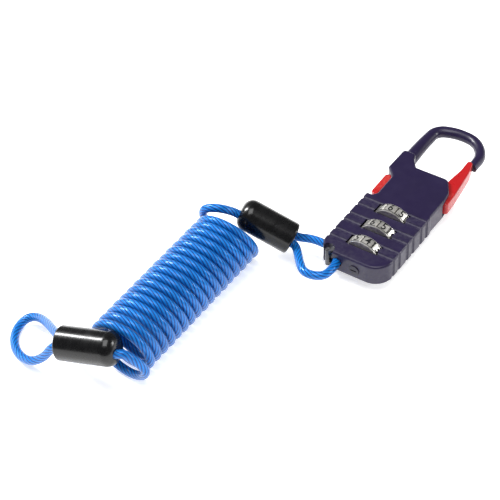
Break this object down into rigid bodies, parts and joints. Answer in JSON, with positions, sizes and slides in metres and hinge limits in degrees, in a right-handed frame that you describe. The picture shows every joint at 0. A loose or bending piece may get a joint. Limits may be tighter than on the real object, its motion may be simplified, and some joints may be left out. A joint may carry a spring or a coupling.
{
  "type": "luggage combination padlock",
  "caption": "Luggage padlock with a gated snap hook, three number dials, a reset button and a coiled steel tether on an eye at its foot",
  "frame": {"origin": "centre of the lock's bounding box in X and Y, at the lowest dial rim; the tether is left out of the box", "axes": "+Y from the foot to the hook, the lock's longest extent; +Z out of the dial face, its shortest; +X to the gate"},
  "size_m": [0.1079, 0.193, 0.0262],
  "materials": {
    "navy_paint": "semi-gloss paint on die-cast zinc",
    "red_paint": "glossy red paint",
    "steel": "plain turned steel",
    "spring_steel": "drawn spring wire and strip",
    "dial_silver": "satin nickel plate with black-filled digits",
    "brass": "turned brass",
    "navy_plastic": "moulded plastic",
    "staple_black": "gloss black enamel",
    "blue_vinyl": "clear blue vinyl over twisted steel strand",
    "black_vinyl": "glossy black vinyl",
    "ferrule_alu": "crimped aluminium"
  },
  "bodies": {
    "case": {"front_cover": "navy_paint", "back_cover": "navy_paint", "hook": "navy_paint", "hook_pin": "steel", "gate_pin": "steel", "gate_spring": "spring_steel", "button_spring": "spring_steel", "spindle_spring": "spring_steel", "detent_spring": "spring_steel", "reset_spring": "spring_steel", "cover_screws": "steel", "cable_staple": "staple_black"},
    "gate_leaf": {"gate": "red_paint"},
    "button": {"release_button": "red_paint"},
    "latch": {"spindle": "steel"},
    "dial_top": {"dial_1": "dial_silver", "dial_bush_1": "brass"},
    "dial_middle": {"dial_2": "dial_silver", "dial_bush_2": "brass"},
    "dial_bottom": {"dial_3": "dial_silver", "dial_bush_3": "brass"},
    "reset": {"reset_button": "navy_plastic"},
    "tether_near": {"cable_near": "blue_vinyl", "ferrule_near": "ferrule_alu", "sleeve_near": "black_vinyl", "cable_coil": "blue_vinyl"},
    "tether_far": {"cable_far": "blue_vinyl", "ferrule_far": "ferrule_alu", "sleeve_far": "black_vinyl"}
  },
  "joints": [
    {"name": "gate_swing", "type": "hinge", "parent": "case", "child": "gate_leaf", "pos_m": [0.01244, 0.0035, 0.009], "axis": [0, 0, 1], "range_deg": [0, 22], "stiffness_Nm_per_rad": 0.02, "deforming": ["gate_spring"]},
    {"name": "button_press", "type": "slide", "parent": "case", "child": "button", "axis": [1, 0, 0], "range_m": [0, 0.0022], "deforming": ["button_spring"]},
    {"name": "spindle_slide", "type": "slide", "parent": "case", "child": "latch", "axis": [0, -1, 0], "range_m": [0, 0.0034], "deforming": ["spindle_spring"]},
    {"name": "dial_1_spin", "type": "hinge", "parent": "case", "child": "dial_top", "pos_m": [0.00064, -0.01585, 0.0079], "axis": [0, 1, 0], "continuous": true},
    {"name": "dial_2_spin", "type": "hinge", "parent": "case", "child": "dial_middle", "pos_m": [0.00064, -0.02614, 0.0079], "axis": [0, 1, 0], "continuous": true},
    {"name": "dial_3_spin", "type": "hinge", "parent": "case", "child": "dial_bottom", "pos_m": [0.00064, -0.03643, 0.0079], "axis": [0, 1, 0], "continuous": true},
    {"name": "reset_press", "type": "slide", "parent": "case", "child": "reset", "axis": [0, 1, 0], "range_m": [0, 0.0012], "deforming": ["reset_spring"]},
    {"name": "cable_swing", "type": "hinge", "parent": "case", "child": "tether_near", "pos_m": [-0.01396, -0.0493, 0.009], "axis": [0, 0, 1], "range_deg": [-12, 12]},
    {"name": "cable_stretch", "type": "slide", "parent": "tether_near", "child": "tether_far", "axis": [0.0155, -0.9999, 0], "range_m": [0, 0.09], "stiffness_N_per_m": 8, "deforming": ["cable_coil"]}
  ],
  "couplings": [
    {"joint": "button_press", "follows": "gate_swing", "m_per_rad": 0.00573},
    {"joint": "spindle_slide", "follows": "gate_swing", "m_per_rad": 0.008855}
  ]
}
